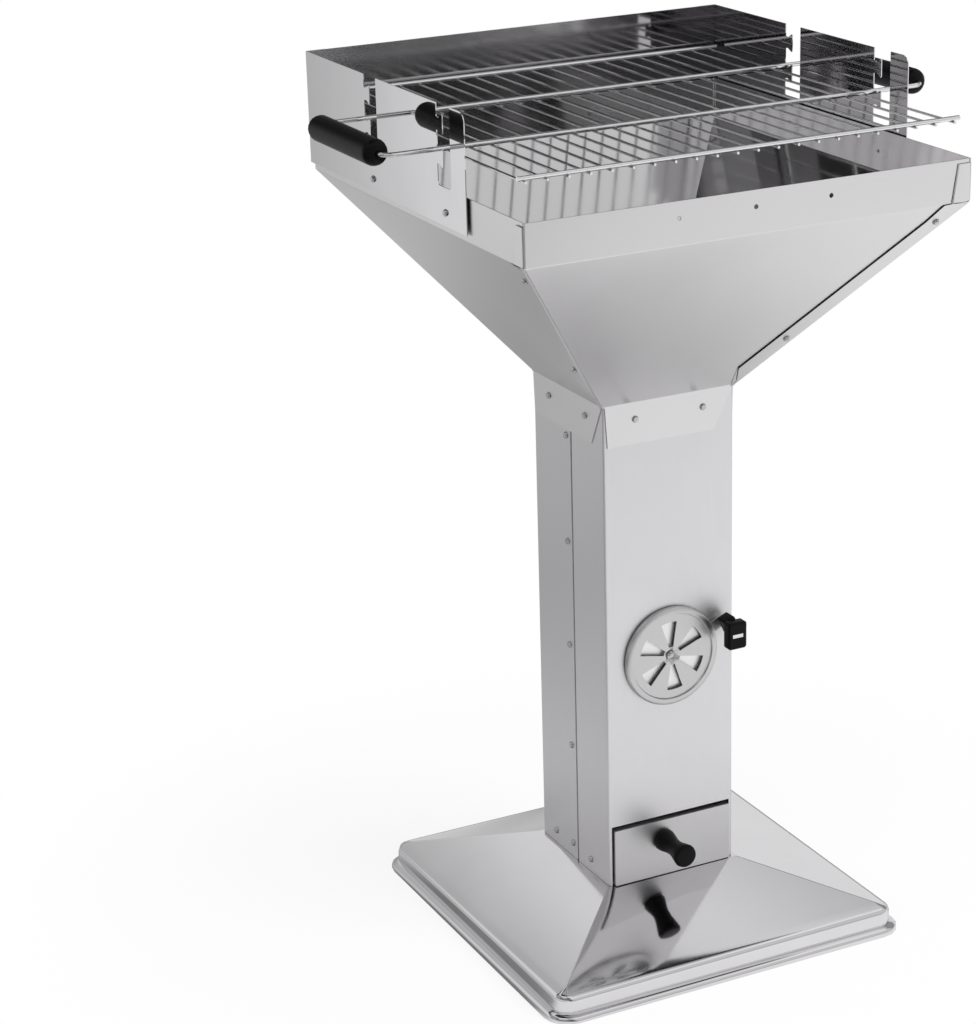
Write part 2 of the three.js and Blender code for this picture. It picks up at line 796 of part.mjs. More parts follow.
function makeRivet() {
  const stack = seatGap * 2 + sheet;
  const tail = sheet + seatGap;
  const profile = [
    [0, stack + rivetHeadHeight],
    [rivetHeadRadius / 2, stack + rivetHeadHeight],
    [rivetHeadRadius, stack + rivetHeadHeight * rivetCrownShare],
    [rivetHeadRadius, stack],
    [rivetRadius, stack],
    [rivetRadius, -tail],
    [rivetHeadRadius, -tail],
    [rivetHeadRadius, -tail - rivetHeadHeight / 2],
    [0, -tail - rivetHeadHeight / 2],
  ].reverse();
  return turned(profile, ventPlaneY, 0, ventZ, rivetSides);
}

addMesh('vent_rivet', makeRivet(), screwSteel());

// Funnel: four alike panels. Each is a band, a slope and a collar in one folded sheet, and its left end
// turns the corner as a flange on its neighbour's outer face.
const bandBottom = rimZ - bandHeight;
const slopeRun = rimHalf - neckHalf;
const slopeDrop = bandBottom - neckZ;
const slopeLength = Math.hypot(slopeRun, slopeDrop);
const hipFlangeEnd = slopeLength - hipFlangeEndRise;
const hipFlangeTip = slopeLength - hipFlangeTipRise;
const hipScrewDrops = [hipScrewDrop, slopeLength - hipScrewRise];
const slopeSheet = (sheet * slopeLength) / slopeDrop;
const cornerShift = (sheet + seatGap) * (slopeLength / slopeDrop);
const hipOuterBend = hipBendRadius + slopeSheet;
const buttShift = hipOuterBend + seatGap;
const slopeNormal = [slopeDrop / slopeLength, -slopeRun / slopeLength];
const outOnSlope = (drop) => rimHalf - (slopeRun * drop) / slopeLength;
const zOnSlope = (drop) => bandBottom - (slopeDrop * drop) / slopeLength;

// Width of the corner flange at a height, from the band's tab down to the tip on the slope
function flangeWidth(z) {
  const { lerp, clamp } = THREE.MathUtils;
  if (z > bandBottom) {
    return lerp(tabTopWidth, tabBottomWidth, clamp((rimZ - z) / bandHeight, 0, 1));
  }
  const drop = ((bandBottom - z) * slopeLength) / slopeDrop;
  if (drop < hipFlangeSettle) {
    return lerp(hipFlangeTopWidth, hipFlangeWidth, drop / hipFlangeSettle);
  }
  const tip = clamp((drop - hipFlangeEnd) / (hipFlangeTip - hipFlangeEnd), 0, 1);
  return lerp(hipFlangeWidth, hipTipWidth, tip);
}

function panelProfile() {
  const slopePoint = (drop) => [outOnSlope(drop), zOnSlope(drop)];
  return foldedSheet([
    [rimHalf, rimZ],
    [rimHalf, bandBottom],
    slopePoint(hipFlangeSettle),
    slopePoint(hipFlangeEnd),
    slopePoint(hipFlangeTip),
    [neckHalf, neckZ],
    [neckHalf, neckZ - collarDrop],
  ].map(([out, z]) => [-out, z]), sheet);
}

function panelRings() {
  const { face, back } = panelProfile();
  const inside = back.slice().reverse();
  const skins = [...face.map((p) => [p, hipOuterBend]), ...inside.map((p) => [p, hipBendRadius])];
  const rightEnd = skins.map(([p]) => new THREE.Vector3(-p.x - buttShift, p.x, p.y));
  const bends = Array.from({ length: bendSteps + 1 }, (_, step) => {
    const angle = (Math.PI / 2) * (step / bendSteps);
    return skins.map(([p, radius]) => new THREE.Vector3(
      p.x - cornerShift + radius * (1 - Math.sin(angle)),
      p.x + radius * (1 - Math.cos(angle)),
      p.y,
    ));
  });
  const flangeEnd = skins.map(([p]) => new THREE.Vector3(p.x - cornerShift, p.x + flangeWidth(p.y), p.y));
  return { rings: [rightEnd, ...bends, flangeEnd], outline: [...face, ...inside] };
}

function hipScrewPlaces(quarter) {
  return hipScrewDrops.map((drop) => {
    const out = outOnSlope(drop);
    return {
      point: turnedPlace([-out - cornerShift, -out + hipScrewInset, zOnSlope(drop)], quarter),
      way: turnedPlace([-slopeNormal[0], 0, slopeNormal[1]], quarter),
    };
  });
}

// The front band has three open holes, and the windscreen is screwed through those of the other three
function bandHoles(quarter) {
  const front = quarter === 0;
  const xs = front ? [-frontHolePitch, 0, frontHolePitch] : [-screenScrewPitch, screenScrewPitch];
  const z = front ? rimZ - frontHoleDrop : screenScrewZ;
  const radius = front ? frontHoleRadius : screwHole;
  return xs.map((x) => drill([x, -rimHalf, z], [0, 1, 0], radius, overrun));
}

function makePanel(quarter) {
  const { rings, outline } = panelRings();
  const body = solidOf(loft(rings, outline));
  const reach = rimHalf + cornerShift + overrun;
  const collarHigh = neckZ - innerBend;
  const collarLow = neckZ - collarDrop - overrun;
  const collarEnd = neckHalf - collarLeftInset;
  const collarEnds = [
    [-reach, -collarEnd, -collarEnd + collarLeftInset],
    [reach, collarEnd, collarEnd - collarRightCut],
  ];
  const collarCuts = collarEnds.map(([far, high, low]) => {
    const points = [[far, collarHigh], [high, collarHigh], [low, collarLow], [far, collarLow]];
    const shape = new THREE.Shape(points.map(([x, z]) => new THREE.Vector2(x, z)));
    return solidOf(alongY(shape, -reach, reach));
  });
  const corner = -rimHalf - cornerShift;
  const relief = new THREE.Shape([
    new THREE.Vector2(corner - overrun, bandBottom + reliefHeight),
    new THREE.Vector2(corner + reliefLength, bandBottom + reliefHeight),
    new THREE.Vector2(corner + reliefLength, bandBottom),
    new THREE.Vector2(corner + reliefNotch, bandBottom - reliefHeight),
    new THREE.Vector2(corner - overrun, bandBottom - reliefDrop),
  ]);
  const flangeInner = -rimHalf - seatGap / 2;
  const reliefCut = solidOf(alongX(relief, corner - overrun, flangeInner));
  const tabCut = solidOf(block([-reach, -reach, rimZ - tabTopDrop], [flangeInner, 0, rimZ + overrun]));
  const screwHoles = drillAll([...hipScrewPlaces(0), ...hipScrewPlaces(1), ...collarScrewPlaces(0)]);
  return geometryOf(cutAll(body, [...collarCuts, reliefCut, tabCut, ...screwHoles, ...bandHoles(quarter)]));
}

const sideNames = ['front', 'right', 'rear', 'left'];
const funnelGrip = sheet * 2 + seatGap * 2;
for (const quarter of quarters) {
  const panel = addMesh(`funnel_${sideNames[quarter]}`, makePanel(quarter), satinSteel());
  panel.rotation.z = (Math.PI / 2) * quarter;
  hipScrewPlaces(quarter).forEach(({ point, way }, i) => {
    screw(`hip_screw_${sideNames[quarter]}_${i + 1}`, point, way, funnelGrip);
  });
  collarScrewPlaces(quarter).forEach(({ point, way }, i) => {
    screw(`collar_screw_${sideNames[quarter]}_${i + 1}`, point, way, funnelGrip);
  });
}

// Windscreen: side panels with open-topped hook slots and a return flange behind the back panel
const screenInner = rimHalf + cornerShift + seatGap;
const screenOuter = screenInner + sheet;
const backFlangeY = screenOuter + seatGap + sheet;

// One slot in Y and Z: open at the top, with two teeth reaching forward from its rear edge
function slotShape(middleY) {
  const rear = middleY + slotWidth / 2;
  const front = middleY - slotWidth / 2;
  const above = screenTopZ + overrun;
  const shape = new THREE.Shape();
  shape.moveTo(front, above);
  shape.lineTo(front, slotBottomZ + slotCorner);
  shape.absarc(front + slotCorner, slotBottomZ + slotCorner, slotCorner, Math.PI, (Math.PI * 3) / 2);
  shape.lineTo(rear - slotCorner, slotBottomZ);
  shape.absarc(rear - slotCorner, slotBottomZ + slotCorner, slotCorner, -Math.PI / 2, 0);
  for (const cradle of [toothCradleZ, toothCradleZ + toothLevelPitch]) {
    const under = cradle - toothNeck;
    const tip = rear - toothLength;
    shape.lineTo(rear, under - toothRootRise);
    shape.lineTo(rear - toothSeat, under);
    shape.lineTo(tip + toothTip, under - toothHang);
    shape.lineTo(tip, under - toothHang + toothTip);
    shape.lineTo(tip, cradle + toothLip - toothTip);
    shape.lineTo(tip + toothTip, cradle + toothLip);
    shape.lineTo(rear - toothSeat, cradle);
    shape.lineTo(rear, cradle + toothRootRise);
  }
  shape.lineTo(rear, above);
  return shape;
}

function screenScrewPlaces(side) {
  return [-screenScrewPitch, screenScrewPitch].map((along) => {
    if (side === 0) {
      return { point: [along, screenOuter, screenScrewZ], way: [0, 1, 0] };
    }
    return { point: [side * screenOuter, along, screenScrewZ], way: [side, 0, 0] };
  });
}

function makeScreenSide(side) {
  const plan = outlineOf(foldedSheet([
    [-screenOuter + screenFlange, backFlangeY],
    [-screenOuter, backFlangeY],
    [-screenOuter, screenFrontY],
  ], sheet, sheet / 2));
  const wall = solidOf(upright(plan, screenBottomZ, screenTopZ));
  const across = (shape) => solidOf(alongX(shape, -screenOuter - overrun, -screenInner + overrun));
  const slots = [-slotPitch, slotPitch].map((y) => across(slotShape(y)));
  const cornerY = screenFrontY + screenCorner;
  const cornerZ = screenTopZ - screenCorner;
  const corner = new THREE.Shape();
  corner.moveTo(screenFrontY - overrun, cornerZ);
  corner.lineTo(screenFrontY, cornerZ);
  corner.absarc(cornerY, cornerZ, screenCorner, Math.PI, Math.PI / 2, true);
  corner.lineTo(cornerY, screenTopZ + overrun);
  corner.lineTo(screenFrontY - overrun, screenTopZ + overrun);
  const left = cutAll(wall, [...slots, across(corner), ...drillAll(screenScrewPlaces(-1))]);
  return geometryOf(side < 0 ? left : left.mirror([1, 0, 0]));
}

function makeScreenBack() {
  const half = screenInner - seatGap;
  const plate = solidOf(block([-half, screenInner, screenBottomZ], [half, screenOuter, screenTopZ]));
  return geometryOf(cutAll(plate, drillAll(screenScrewPlaces(0))));
}

addMesh('windscreen_left', makeScreenSide(-1), mirrorSteel());
addMesh('windscreen_right', makeScreenSide(1), mirrorSteel());
addMesh('windscreen_back', makeScreenBack(), mirrorSteel());

const screenGrip = sheet * 2 + cornerShift + seatGap * 2;
for (const [side, word] of [[-1, 'left'], [1, 'right'], [0, 'back']]) {
  screenScrewPlaces(side).forEach(({ point, way }, i) => {
    screw(`windscreen_screw_${word}_${i + 1}`, point, way, screenGrip);
  });
}

// Cooking grate: fine wires under a front and a rear rod, and a closed handle loop lying on the wires
const loopZ = toothCradleZ + seatGap + rodRadius;
const wireZ = loopZ - rodRadius - seatGap - wireRadius;
const grateRodZ = wireZ + wireRadius + rodRadius - weldSink;
const lipRun = toothLength - toothTip - toothSeat;
const lipLength = Math.hypot(lipRun, toothLip);
const hookY = slotWidth / 2 - toothSeat + ((rodRadius + seatGap) * (lipLength - lipRun)) / toothLip;
const loopFrontY = -slotPitch + hookY;
const loopRearY = slotPitch + hookY;
const loopHalf = screenOuter + loopOverhang;
const grateRodHalf = screenInner - grateSideClear;
const grateFrontY = -rimHalf + grateFrontClear;
const grateRearY = screenInner - grateRearClear;
const wireSpan = grateRodHalf - wireMargin;

function makeCookingGrate() {
  const wires = Array.from({ length: wireCount }, (_, i) => {
    const x = THREE.MathUtils.lerp(-wireSpan, wireSpan, i / (wireCount - 1));
    return bar([x, grateFrontY - wirePoke, wireZ], [x, grateRearY + wirePoke, wireZ], wireRadius, wireSides);
  });
  const rods = [grateFrontY, grateRearY].map((y) => {
    return bar([-grateRodHalf, y, grateRodZ], [grateRodHalf, y, grateRodZ], rodRadius, rodSides);
  });
  return geometryOf(joinAll([...rods, ...wires].map(solidOf)));
}

addMesh('cooking_grate', makeCookingGrate(), chromeWire());

// A closed ring of round bar in a level plane, with rounded corners
function barLoop(halfX, lowY, highY, corner, radius, sides, z) {
  const middleY = (lowY + highY) / 2;
  const halfY = (highY - lowY) / 2;
  const rings = [];
  [[1, -1], [1, 1], [-1, 1], [-1, -1]].forEach(([signX, signY], quarter) => {
    for (let step = 0; step <= loopSteps; step += 1) {
      const angle = (Math.PI / 2) * (quarter - 1 + step / loopSteps);
      const outwards = new THREE.Vector3(Math.cos(angle), Math.sin(angle), 0);
      const centre = new THREE.Vector3(signX * (halfX - corner), middleY + signY * (halfY - corner), z);
      centre.addScaledVector(outwards, corner);
      rings.push(Array.from({ length: sides }, (_, side) => {
        const turn = (Math.PI * 2 * (side + 1 / 2)) / sides;
        const height = z + radius * Math.sin(turn);
        return centre.clone().addScaledVector(outwards, radius * Math.cos(turn)).setZ(height);
      }));
    }
  });
  return loft(rings, null);
}

const loopGeometry = barLoop(loopHalf, loopFrontY, loopRearY, loopCorner, rodRadius, rodSides, loopZ);
addMesh('handle_loop', loopGeometry, chromeWire());

function gripGeometry() {
  const bore = rodRadius + seatGap;
  const half = gripLength / 2;
  const far = gripRoundShares.map((share) => {
    const angle = (Math.PI / 2) * share;
    return [gripRadius - gripRound * (1 - Math.cos(angle)), half - gripRound * (1 - Math.sin(angle))];
  });
  const near = far.slice().reverse().map(([radius, along]) => [radius, -along]);
  const profile = [[bore, -half], ...near, ...far, [bore, half], [bore, -half]];
  const points = profile.map(([radius, along]) => new THREE.Vector2(radius, along));
  return outward(closed(new THREE.LatheGeometry(points, turnSides)));
}

for (const [side, word] of [[-1, 'left'], [1, 'right']]) {
  const grip = addMesh(`grip_${word}`, gripGeometry(), blackPlastic());
  grip.position.set(side * loopHalf, (loopFrontY + loopRearY) / 2, loopZ);
}

// Charcoal grate: a square ring of rod with bars across, lying against the four slopes
const coalZ = (() => {
  const slopeInner = coalHalf + (coalRodRadius + seatGap) / slopeNormal[0];
  const neckInner = neckHalf - slopeSheet;
  return neckZ + ((slopeInner - neckInner) * slopeDrop) / slopeRun;
})();

function makeCoalGrate() {
  const ring = solidOf(barLoop(coalHalf, -coalHalf, coalHalf, coalCorner, coalRodRadius, rodSides, coalZ));
  const barZ = coalZ + coalRodRadius + coalBarRadius - weldSink;
  const pitch = (coalHalf * 2) / (coalBarCount + 1);
  const bars = Array.from({ length: coalBarCount }, (_, i) => {
    const x = -coalHalf + pitch * (i + 1);
    return solidOf(bar([x, -coalHalf, barZ], [x, coalHalf, barZ], coalBarRadius, wireSides));
  });
  return geometryOf(joinAll([ring, ...bars]));
}

addMesh('charcoal_grate', makeCoalGrate(), finish(0x6d6c6c, 0.5, 1));

screws.forEach((mesh) => grill.add(mesh));

export default grill;
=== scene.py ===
"""Studio picture of a free-standing park barbecue in folded stainless sheet."""

import math

import bpy
from mathutils import Matrix, Vector


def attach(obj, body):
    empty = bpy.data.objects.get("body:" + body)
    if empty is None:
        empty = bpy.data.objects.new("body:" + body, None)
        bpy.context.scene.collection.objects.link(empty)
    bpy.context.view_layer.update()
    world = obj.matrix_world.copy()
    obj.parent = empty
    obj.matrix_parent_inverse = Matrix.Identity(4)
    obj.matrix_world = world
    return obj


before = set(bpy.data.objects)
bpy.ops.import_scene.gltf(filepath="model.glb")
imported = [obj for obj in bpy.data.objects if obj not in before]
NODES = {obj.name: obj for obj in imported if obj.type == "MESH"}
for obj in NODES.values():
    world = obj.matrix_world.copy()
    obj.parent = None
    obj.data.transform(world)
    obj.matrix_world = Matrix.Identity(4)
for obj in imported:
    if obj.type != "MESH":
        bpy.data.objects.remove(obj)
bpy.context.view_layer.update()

# Camera, fitted to the photograph: lens, direction, and place relative to a point on the column's axis
PHOTO_HEIGHT = 1024
FOCAL_PIXELS = 2753.3
SENSOR = 36.0
AZIMUTH = -25.69
ELEVATION = 19.88
ROLL = -1.68
DISTANCE = 2.8685
AIM_HEIGHT = 0.45
OFFSET_RIGHT = -0.15149
OFFSET_UP = -0.00231

# Smoothing of the faceted CAD surfaces
WELD = 1e-5
SHEET_ANGLE = math.radians(50)
WIRE_ANGLE = math.radians(66)
LARGE_FACE_WEIGHT = 80
WIRES = ("cooking_grate", "handle_loop", "charcoal_grate")

# Vent: its axis on the column's front face, the reach of its petals, within which the column face is painted
# brighter (painted light), and the window in its grip
VENT_CENTRE = (0, -0.075, 0.314)
VENT_PETAL_REACH = 0.0395
WINDOW_CENTRE = (0.0612, -0.1098, 0.33425)
WINDOW_SIZE = (0.0121, 0.0006, 0.0038)
WINDOW_RECESS = 0.0005

# Colours. A pair goes from the low end of its noise to the high end
MIRROR = ((0.66, 0.65, 0.665), (0.74, 0.73, 0.745))
SATIN = ((0.7, 0.69, 0.705), (0.76, 0.75, 0.765))
FRONT = ((0.72, 0.71, 0.725), (0.78, 0.77, 0.785))
DOOR = ((0.62, 0.61, 0.62), (0.68, 0.67, 0.68))
DISC = ((0.56, 0.56, 0.565), (0.62, 0.62, 0.625))
BOWL = ((0.68, 0.67, 0.68), (0.74, 0.73, 0.74))
CHROME = ((0.7, 0.7, 0.71), (0.8, 0.8, 0.81))
PLAIN_WIRE = ((0.10, 0.095, 0.09), (0.2, 0.19, 0.18))
SCREW = ((0.42, 0.42, 0.43), (0.58, 0.58, 0.59))
PLASTIC = ((0.001, 0.001, 0.001), (0.003, 0.003, 0.003))
# Brighter column face behind the vent petals: painted light
PAINTED_LIGHT_BEHIND_PETALS = (0.9, 0.9, 0.9)
# Darker colour on the inner faces of the windscreen sides: painted shade
SCREEN_INSIDE_SHADE = (0.5, 0.49, 0.505)
# Inner faces of the back panel, at its left and its right: painted shade, deeper on the right
BACK_SHADE_LEFT = (0.6, 0.59, 0.6)
BACK_SHADE_RIGHT = (0.36, 0.35, 0.36)

# Blender gives the scene's own screw steel another name
RECORD_STEEL = "screw_steel"

# Patterns of the sheet: noise scales, the spread of the noise that counts, reliefs in metres and strengths
HAZE_SCALE = 14
HAZE_SPREAD = (0.35, 0.7)
WAVE_SCALE = 5
WAVE_RELIEF = 0.004
MIRROR_WAVE = 0.1
BOWL_WAVE = 0.08
GRAIN_SPREAD = (0.3, 0.7)
GRAIN_RELIEF = 0.0002
BRUSH_STRETCH = (1, 1, 0.03)

# Roughness. No material crosses about 0.274, where the render's noise filter leaves grain
MIRROR_ROUGH = (0.06, 0.1)
SCREEN_ROUGH = (0.012, 0.03)
BACK_ROUGH = (0.12, 0.03)
BACK_HAZE_ROUGH = (0.0, 0.04)
# Span along x over which the back panel's inner painted shade deepens and its roughness falls
BACK_SHADE_SPAN = (-0.02, 0.2)
BOWL_OUTSIDE_SPREAD = (0.3, 0.75)
BOWL_OUTSIDE_ROUGH = (0.285, 0.31)
BOWL_INSIDE_ROUGH = (0.05, 0.12)
BRUSH_SMOOTHER = 0.03
BRUSH_ROUGHER = 0.04
WIRE_ROUGHER = 0.1
PLASTIC_ROUGH = (0.34, 0.48)
PLASTIC_SPECULAR = 0.12

# Floor: its disc, its own finish, and how much of its plain white the camera and polished metal see
FLOOR_RADIUS = 40.0
FLOOR_WHITE = 0.9
FLOOR_ROUGH = 0.9
FLOOR_CORNERS = 64
FLOOR_FADES = (0.2, 0.8)
FLOOR_TO_CAMERA = (0.86, 1.0)
FLOOR_TO_METAL = 0.92

# Painted light and shade on the floor, where polished metal shows it: a direction, where along it the tone
# starts and ends, and its levels
FRONT_ZONE = ((0.45, -0.9, 0), (-1.0, 0.25), (0.45, 1.0))
CORNER_ZONE = ((-0.88, -0.47, 0), (0.35, 0.8), (1.0, 0.3))
REAR_RIGHT_ZONE = ((0.6, 0.8, 0), (0.62, 0.8), (1.0, 0.62))
REAR_LEFT_ZONE = ((-0.5, 0.86, 0), (0.75, 0.98), (1.0, 0.55))
RIGHT_HALF_ZONE = ((1, 0, 0), (-0.05, 0.1), (0.0, 1.0))
BEFORE_FOOT_ZONE = ((0, -1, 0), (0.12, 0.21), (0.0, 1.0))

# Painted shadow round the foot, where polished metal shows the floor: distance from the column's axis, and
# levels there
FOOT_SHADOW_LEFT = ((0.24, 0.38), (0.26, 1.0))
FOOT_SHADOW_RIGHT = ((0.22, 0.75), (0.42, 1.0))

# Card behind the object: its edges, then its tones by height and from left to right
CARD_HALF = 4.0
CARD_LOW = 0.004
CARD_HIGH = 1.05
CARD_REAR = 0.95
CARD_RISE = ((0.0, 0.5), (0.55, 0.86))
CARD_DIP_LEFT = ((-0.75, -0.5), (0.0, 1.0))
CARD_DIP_RIGHT = ((-0.2, 0.0), (1.0, 0.0))
CARD_DIP_LEVELS = (1.0, 0.65)
CARD_LOWER = ((-0.5, -0.1), (0.62, 0.38))
CARD_UPPER_STARTS = ((0.1, 0.35), (0.0, 1.0))
CARD_FOOT = ((0.0, 0.08), (0.6, 1.0))
CARD_BRIGHT = ((0.3, 0.8), (0.0, 0.88))

# Ring overhead: its size, and its tones
RING_HEIGHT = 2.2
RING_INNER = 1.25
RING_OUTER = 1.95
RING_CORNERS = 64
RING_REAR = ((1.4, 1.8), (0.86, 0.55))
RING_FRONT_ZONE = ((0, -1, 0), (0.0, 0.4), (0.0, 1.0))
RING_FRONT_LEVEL = 1.0

# World: the even light on matt surfaces, then what polished metal shows, which is a pale horizon and soft
# boxes, each with its direction, the degrees from it within which it is full and beyond which it is gone,
# and its level
DOME_LEVEL = 0.35
HORIZON = ((0.03, 0.3), (1.0, 0.02))
SOFT_BOXES = (
    ((0.45, -0.55, 0.7), 24, 46, 0.72),
    ((-0.7, -0.6, 0.35), 10, 50, 0.25),
    ((-0.55, -0.38, 0.75), 8, 26, 0.65),
    ((0.85, -0.48, 0.4), 12, 28, 0.7),
    ((-0.88, 0.3, 0.42), 16, 38, 0.4),
    ((0.8, 0.25, 0.5), 14, 30, 0.35),
)

# Lamps: place, side of the square, watts
LAMP_AIM = (0, 0, 0.4)
KEY_LAMP = ((1.8, -2.2, 2.8), 2.2, 130)
FILL_LAMP = ((-2.4, -1.6, 2.0), 1.8, 25)

# Sockets of Blender's Mix node
MIX_SHARE = 0
MIX_NUMBERS = (2, 3)
MIX_NUMBER = 0
MIX_COLOURS = (6, 7)
MIX_COLOUR = 2


def make_camera():
    azimuth, elevation, roll = map(math.radians, (AZIMUTH, ELEVATION, ROLL))
    back = Vector((
        math.sin(azimuth) * math.cos(elevation),
        -math.cos(azimuth) * math.cos(elevation),
        math.sin(elevation),
    ))
    level = Vector((math.cos(azimuth), math.sin(azimuth), 0))
    upright = back.cross(level)
    right = level * math.cos(roll) + upright * math.sin(roll)
    up = upright * math.cos(roll) - level * math.sin(roll)
    camera = bpy.data.objects.new("camera", bpy.data.cameras.new("camera"))
    bpy.context.scene.collection.objects.link(camera)
    camera.data.sensor_width = SENSOR
    camera.data.lens = FOCAL_PIXELS / PHOTO_HEIGHT * SENSOR
    place = Vector((0, 0, AIM_HEIGHT)) + back * DISTANCE + right * OFFSET_RIGHT + up * OFFSET_UP
    rows = [[right[i], up[i], back[i], place[i]] for i in range(3)] + [[0, 0, 0, 1]]
    camera.matrix_world = Matrix(rows)
    bpy.context.scene.camera = camera


class Graph:
    """Builds the nodes of one tree. A span and its levels are pairs, from the first end to the last."""

    def __init__(self, tree):
        self.tree = tree

    def add(self, kind, **settings):
        node = self.tree.nodes.new(kind)
        for key, value in settings.items():
            setattr(node, key, value)
        return node

    def feed(self, socket, value):
        if isinstance(value, bpy.types.NodeSocket):
            self.tree.links.new(value, socket)
        else:
            socket.default_value = value

    def maths(self, operation, *values):
        node = self.add("ShaderNodeMath", operation=operation)
        for socket, value in zip(node.inputs, values):
            self.feed(socket, value)
        return node.outputs[0]

    def measure(self, operation, vector, other=(0, 0, 0)):
        """A number from one or two vectors."""
        node = self.add("ShaderNodeVectorMath", operation=operation)
        self.feed(node.inputs[0], vector)
        self.feed(node.inputs[1], other)
        return node.outputs["Value"]

    def level(self, vector):
        """A vector without its height."""
        node = self.add("ShaderNodeVectorMath", operation="MULTIPLY")
        self.feed(node.inputs[0], vector)
        self.feed(node.inputs[1], (1, 1, 0))
        return node.outputs["Vector"]

    def axis(self, vector, name):
        """One coordinate of a vector."""
        node = self.add("ShaderNodeSeparateXYZ")
        self.feed(node.inputs[0], vector)
        return node.outputs[name]

    def ramp(self, value, span, levels=(0.0, 1.0), soft=False):
        """Follows the levels while the value crosses the span, and keeps to them outside it."""
        node = self.add("ShaderNodeMapRange", interpolation_type="SMOOTHSTEP" if soft else "LINEAR")
        names = ("Value", "From Min", "From Max", "To Min", "To Max")
        for name, setting in zip(names, (value, *span, *levels)):
            self.feed(node.inputs[name], setting)
        return node.outputs["Result"]

    def blend(self, share, off, on):
        """The number off at share 0, and on at share 1."""
        node = self.add("ShaderNodeMix", data_type="FLOAT")
        self.feed(node.inputs[MIX_SHARE], share)
        for index, value in zip(MIX_NUMBERS, (off, on)):
            self.feed(node.inputs[index], value)
        return node.outputs[MIX_NUMBER]

    def tint(self, share, off, on):
        """The colour off at share 0, and on at share 1."""
        node = self.add("ShaderNodeMix", data_type="RGBA")
        self.feed(node.inputs[MIX_SHARE], share)
        for index, value in zip(MIX_COLOURS, (off, on)):
            plain = not isinstance(value, bpy.types.NodeSocket)
            self.feed(node.inputs[index], (*value, 1) if plain else value)
        return node.outputs[MIX_COLOUR]

    def show(self, path, camera, metal):
        """A share for what the camera sees, and another for what polished metal shows."""
        seen = self.maths("MAXIMUM", path.outputs["Is Camera Ray"], path.outputs["Is Transmission Ray"])
        seen = self.maths("MULTIPLY", seen, camera)
        shown = self.maths("MULTIPLY", path.outputs["Is Glossy Ray"], metal)
        return self.maths("ADD", seen, shown)


class Shader(Graph):
    """A surface material whose patterns sit in object space."""

    def __init__(self, name):
        self.material = bpy.data.materials.new(name)
        self.material.use_nodes = True
        super().__init__(self.material.node_tree)
        self.surface = self.tree.nodes["Principled BSDF"]
        self.place = self.add("ShaderNodeTexCoord").outputs["Object"]

    def set(self, **values):
        for name, value in values.items():
            self.feed(self.surface.inputs[name.replace("_", " ")], value)

    def noise(self, scale, detail=2.0, stretch=(1, 1, 1), roughness=0.5):
        mapping = self.add("ShaderNodeMapping")
        mapping.inputs["Scale"].default_value = stretch
        self.feed(mapping.inputs["Vector"], self.place)
        noise = self.add("ShaderNodeTexNoise")
        for name, value in {"Scale": scale, "Detail": detail, "Roughness": roughness}.items():
            noise.inputs[name].default_value = value
        self.feed(noise.inputs["Vector"], mapping.outputs["Vector"])
        return noise.outputs["Fac"]

    def bump(self, height, strength, distance):
        node = self.add("ShaderNodeBump")
        node.inputs["Strength"].default_value = strength
        node.inputs["Distance"].default_value = distance
        self.feed(node.inputs["Height"], height)
        return node.outputs["Normal"]

    def near(self, centre, reach):
        """1 within reach of a point, 0 beyond it."""
        return self.maths("LESS_THAN", self.measure("DISTANCE", self.place, centre), reach)

    def inward(self):
        """1 on faces that look towards the column's axis, 0 on those that look away from it."""
        geometry = self.add("ShaderNodeNewGeometry")
        out = self.level(geometry.outputs["Position"])
        return self.maths("LESS_THAN", self.measure("DOT_PRODUCT", out, geometry.outputs["True Normal"]), 0.0)

    def zone(self, settings, soft=True):
        """A tone that changes along a direction."""
        way, span, levels = settings
        return self.ramp(self.measure("DOT_PRODUCT", self.place, way), span, levels, soft)

    def glow(self, strength):
        node = self.add("ShaderNodeEmission")
        self.feed(node.inputs["Strength"], strength)
        return node.outputs[0]

    def finish(self, closure):
        """Puts another closure in the place of the plain surface."""
        self.feed(self.tree.nodes["Material Output"].inputs["Surface"], closure)


def polished(name, colours, rough, inside=None):
    """Polished sheet with a faint haze and a slight press waviness, and a painted shade on its inner faces if
    given.
    """
    shader = Shader(name)
    haze = shader.noise(HAZE_SCALE, 4)
    colour = shader.tint(haze, *colours)
    # Faces that look towards the column's axis take the darker colour: painted shade
    if inside:
        colour = shader.tint(shader.inward(), colour, inside)
    shader.set(
        Metallic=1.0,
        Base_Color=colour,
        Roughness=shader.ramp(haze, HAZE_SPREAD, rough),
        Normal=shader.bump(shader.noise(WAVE_SCALE, 1), MIRROR_WAVE, WAVE_RELIEF),
    )
    return shader.material


def shaded_back(name):
    """Back panel: polished outside; inside, a painted shade that deepens towards the right, over a roughness
    that is higher on the left.
    """
    shader = Shader(name)
    # clear runs from 0 on the left to 1 on the right; it drives the inner painted shade and the roughness
    clear = shader.ramp(shader.axis(shader.place, "X"), BACK_SHADE_SPAN, soft=True)
    haze = shader.noise(HAZE_SCALE, 4)
    outside = shader.tint(haze, *MIRROR)
    # Inner colour darkens towards the right: painted shade
    inside = shader.tint(clear, BACK_SHADE_LEFT, BACK_SHADE_RIGHT)
    rougher_left = shader.ramp(clear, (0.0, 1.0), BACK_ROUGH)
    shader.set(
        Metallic=1.0,
        Base_Color=shader.tint(shader.inward(), outside, inside),
        Roughness=shader.maths("ADD", rougher_left, shader.ramp(haze, HAZE_SPREAD, BACK_HAZE_ROUGH)),
        Normal=shader.bump(shader.noise(WAVE_SCALE, 1), MIRROR_WAVE, WAVE_RELIEF),
    )
    return shader.material


